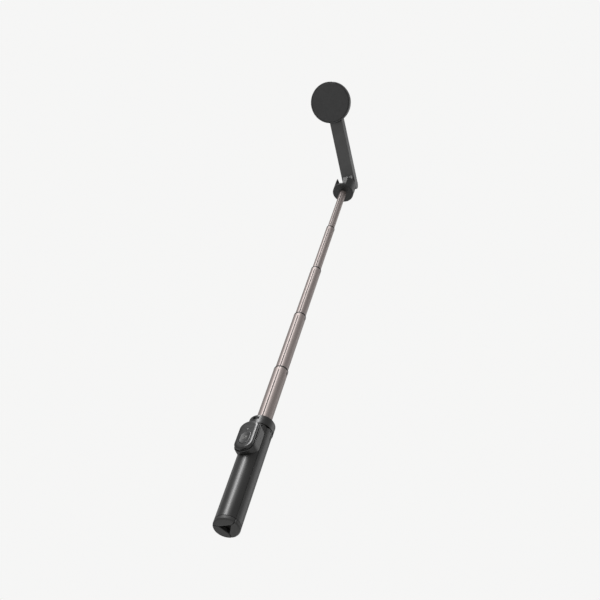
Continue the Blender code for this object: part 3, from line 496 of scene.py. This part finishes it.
def fine_button():
    """The oval button: a soft edge round a shallow dish."""
    back, face = button_high.y, BUTTON_FACE
    ledge = back - BUTTON_LEDGE
    layers = [(oval(BUTTON_FLANGE), back), (oval(BUTTON_FLANGE), ledge), (oval(0), ledge)]
    layers += [(oval(-inset * MM), face + depth * MM) for inset, depth in BUTTON_ROUND]
    rim = BUTTON_ROUND[-1][0]
    for share in [k / DISH_STEPS for k in range(1, DISH_STEPS + 1)]:
        layers.append((oval(-(rim + DISH_WIDTH * share) * MM), face + BUTTON_DISH * sin(pi / 2 * share)))
    put(standing("button_cap", layers), "shutter_button", "button_grey", "shutter_button")


def cut_away(piece, *cutters):
    """Takes the cutters out of the piece and keeps only the result."""
    for cutter in cutters:
        change = piece.modifiers.new("cut", "BOOLEAN")
        change.operation = "DIFFERENCE"
        change.solver = "EXACT"
        change.object = cutter
    seen = piece.evaluated_get(bpy.context.evaluated_depsgraph_get())
    cut = bpy.data.meshes.new_from_object(seen)
    piece.modifiers.clear()
    piece.data = cut
    shade_smooth(cut)
    for cutter in cutters:
        bpy.data.objects.remove(cutter)


def remote_face():
    """The crowned cover, hollow behind, with holes for the button and the lamp."""
    back, face = cover_high.y, cover_low.y
    layers = [(pill(0), back), (pill(0), face + CROWN)]
    for turn in [pi / 2 * i / CROWN_STEPS for i in range(1, CROWN_STEPS + 1)]:
        layers.append((pill(CROWN_WIDTH * (1 - cos(turn))), face + CROWN * (1 - sin(turn))))
    cover = standing("remote_face", layers)
    room = pill(REMOTE_WALL)
    inside = standing("cut_inside", [(room, back + MM), (room, face + REMOTE_WALL)])
    led_low, led_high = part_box("remote_led")
    led_hole = peg("cut_led", circle(LED_HOLE, (led_low.z + led_high.z) / 2 - COVER.z))
    cut_away(cover, inside, peg("cut_button", oval(BUTTON_GAP)), led_hole)
    soften(cover, REMOTE_EDGE)
    put(cover, "remote", "remote_shell", "remote_cover")


remote_face()
fine_button()

# ---- the steps under the head and the button's icon ----

HEAD_STEPS = ((11.6, 0.25), (8.2, 0.2))  # radius and height of the steps, in mm
STEP_FOOT = 0.45 * MM  # half a step's width at the head
STEP_FACE = 0.3 * MM  # and at its face
STEP_ROOT = 0.05 * MM  # how far a step starts inside the head
head_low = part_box("head_fork")[0].z
ICON_LINE = 0.28 * MM
ICON_RISE = 0.04 * MM  # of the line's middle over the dish's floor
ICON_RING = 1.1  # mm
ICON_FRAME = (  # across and up from the button's middle, in mm
    (-2.4, -1.7), (2.4, -1.7), (2.4, 1.7), (1.2, 1.7),
    (0.8, 2.2), (-0.8, 2.2), (-1.2, 1.7), (-2.4, 1.7),
)


def head_step(i, radius, height):
    r, root, face = radius * MM, head_low + STEP_ROOT, head_low - height * MM
    profile = [(r - STEP_FOOT, root), (r - STEP_FACE, face), (r + STEP_FACE, face), (r + STEP_FOOT, root)]
    turned_ring(f"head_step_{i}", profile, "tube_5", "head_black")


def icon_piece(name, outline):
    """A fine closed line on the button's dish, through points across and up from its middle, in mm."""
    curve = bpy.data.curves.new(name, "CURVE")
    curve.dimensions = "3D"
    curve.bevel_depth = ICON_LINE / 2
    curve.bevel_resolution = 2
    spline = curve.splines.new("POLY")
    spline.points.add(len(outline) - 1)
    for point, (x, z) in zip(spline.points, outline):
        point.co = (BUTTON.x + x * MM, BUTTON_FACE + BUTTON_DISH - ICON_RISE, BUTTON.z + z * MM, 1)
    spline.use_cyclic_u = True
    made = bpy.data.objects.new(name, curve)
    bpy.context.scene.collection.objects.link(made)
    put(made, "shutter_button", "lens_white")


for i, (radius, height) in enumerate(HEAD_STEPS):
    head_step(i, radius, height)
icon_piece("icon_ring", circle(ICON_RING))
icon_piece("icon_frame", ICON_FRAME)

# ---- the nodes that keep their CAD meshes ----

for name, cad in frame["nodes"].items():
    if not cad.hide_render:
        for each in cad.material_slots:
            each.material = LOOKS[slot_of(name)]

# ---- floor, lights and camera ----

PALE = (0.92, 0.92, 0.915)
# the camera's own axes and its place, in metres
RIGHT = Vector((0.9089, 0.3587, 0.2126))
UP = Vector((0.1686, -0.7825, 0.5994))
BACK = Vector((0.3813, -0.5090, -0.7717))
EYE = Vector((0.4882, -0.6622, -0.6471))
LENS = 66.0  # mm
SENSOR = 36.0  # mm
CLIP = (0.05, 60.0)
FLOOR_Z = -1.6
FLOOR_SIZE = 40.0
FLOOR_CELLS = 8
FLOOR_COLOUR = (0.93, 0.93, 0.92, 1)
FLOOR_ROUGHNESS = 0.9
FLOOR_GLOW = 0.34
SEEN_GLOW = 1.0  # of the surround where the camera sees it
LIGHTING_GLOW = 0.42  # of the surround where it lights the object


def make_floor():
    bm = bmesh.new()
    bmesh.ops.create_grid(bm, x_segments=FLOOR_CELLS, y_segments=FLOOR_CELLS, size=FLOOR_SIZE)
    bmesh.ops.translate(bm, verts=bm.verts, vec=(0, 0, FLOOR_Z))
    floor = new_object("studio_floor", bm)
    plain = bpy.data.materials.new("studio_pale")
    plain.use_nodes = True
    sockets = plain.node_tree.nodes["Principled BSDF"].inputs
    sockets["Base Color"].default_value = FLOOR_COLOUR
    sockets["Roughness"].default_value = FLOOR_ROUGHNESS
    sockets["Emission Color"].default_value = (1, 1, 1, 1)
    sockets["Emission Strength"].default_value = FLOOR_GLOW
    floor.data.materials.append(plain)


def make_world():
    """A plain pale surround, which lights the object less than it shows."""
    world = bpy.data.worlds.new("studio")
    bpy.context.scene.world = world
    world.use_nodes = True
    tree = world.node_tree
    seen = tree.nodes["Background"]
    lighting = node(tree, "ShaderNodeBackground")
    for background, strength in ((seen, SEEN_GLOW), (lighting, LIGHTING_GLOW)):
        background.inputs["Color"].default_value = (*PALE, 1)
        background.inputs["Strength"].default_value = strength
    path = node(tree, "ShaderNodeLightPath")
    mix = node(tree, "ShaderNodeMixShader")
    link(tree, path, "Is Camera Ray", mix, "Fac")
    link(tree, lighting, 0, mix, 1)
    link(tree, seen, 0, mix, 2)
    link(tree, mix, 0, tree.nodes["World Output"], 0)


LIGHTS = (
    # name, azimuth and elevation from the object's middle in degrees, metres away, width, height, watts
    ("strip_front", -99, 42, 1.5, 0.26, 1.7, 36.0),
    ("soft_right", 48, 35, 1.5, 1.0, 1.6, 4.5),
    ("soft_left", 176, 10, 1.6, 0.6, 1.5, 1.5),
    ("under_back", 104, -14, 1.3, 0.6, 0.4, 5.0),
)


def make_light(name, azimuth, elevation, away, width, height, watts):
    middle = (cad_box[0] + cad_box[1]) / 2
    a, e = radians(azimuth), radians(elevation)
    out = Vector((cos(a) * cos(e), sin(a) * cos(e), sin(e)))
    light = bpy.data.lights.new(name, "AREA")
    light.shape = "RECTANGLE"
    light.size = width
    light.size_y = height
    light.energy = watts
    made = bpy.data.objects.new(name, light)
    side = Vector((0, 0, 1)).cross(out).normalized()
    turn = Matrix((side, out.cross(side), out)).transposed().to_4x4()
    made.matrix_world = Matrix.Translation(middle + away * out) @ turn
    bpy.context.scene.collection.objects.link(made)


def make_camera():
    camera = bpy.data.cameras.new("camera")
    camera.lens = LENS
    camera.sensor_width = SENSOR
    camera.clip_start, camera.clip_end = CLIP
    made = bpy.data.objects.new("camera", camera)
    made.matrix_world = Matrix.Translation(EYE) @ Matrix((RIGHT, UP, BACK)).transposed().to_4x4()
    bpy.context.scene.collection.objects.link(made)
    bpy.context.scene.camera = made


make_floor()
make_world()
for light in LIGHTS:
    make_light(*light)
make_camera()
bpy.context.scene.view_settings.view_transform = "Standard"
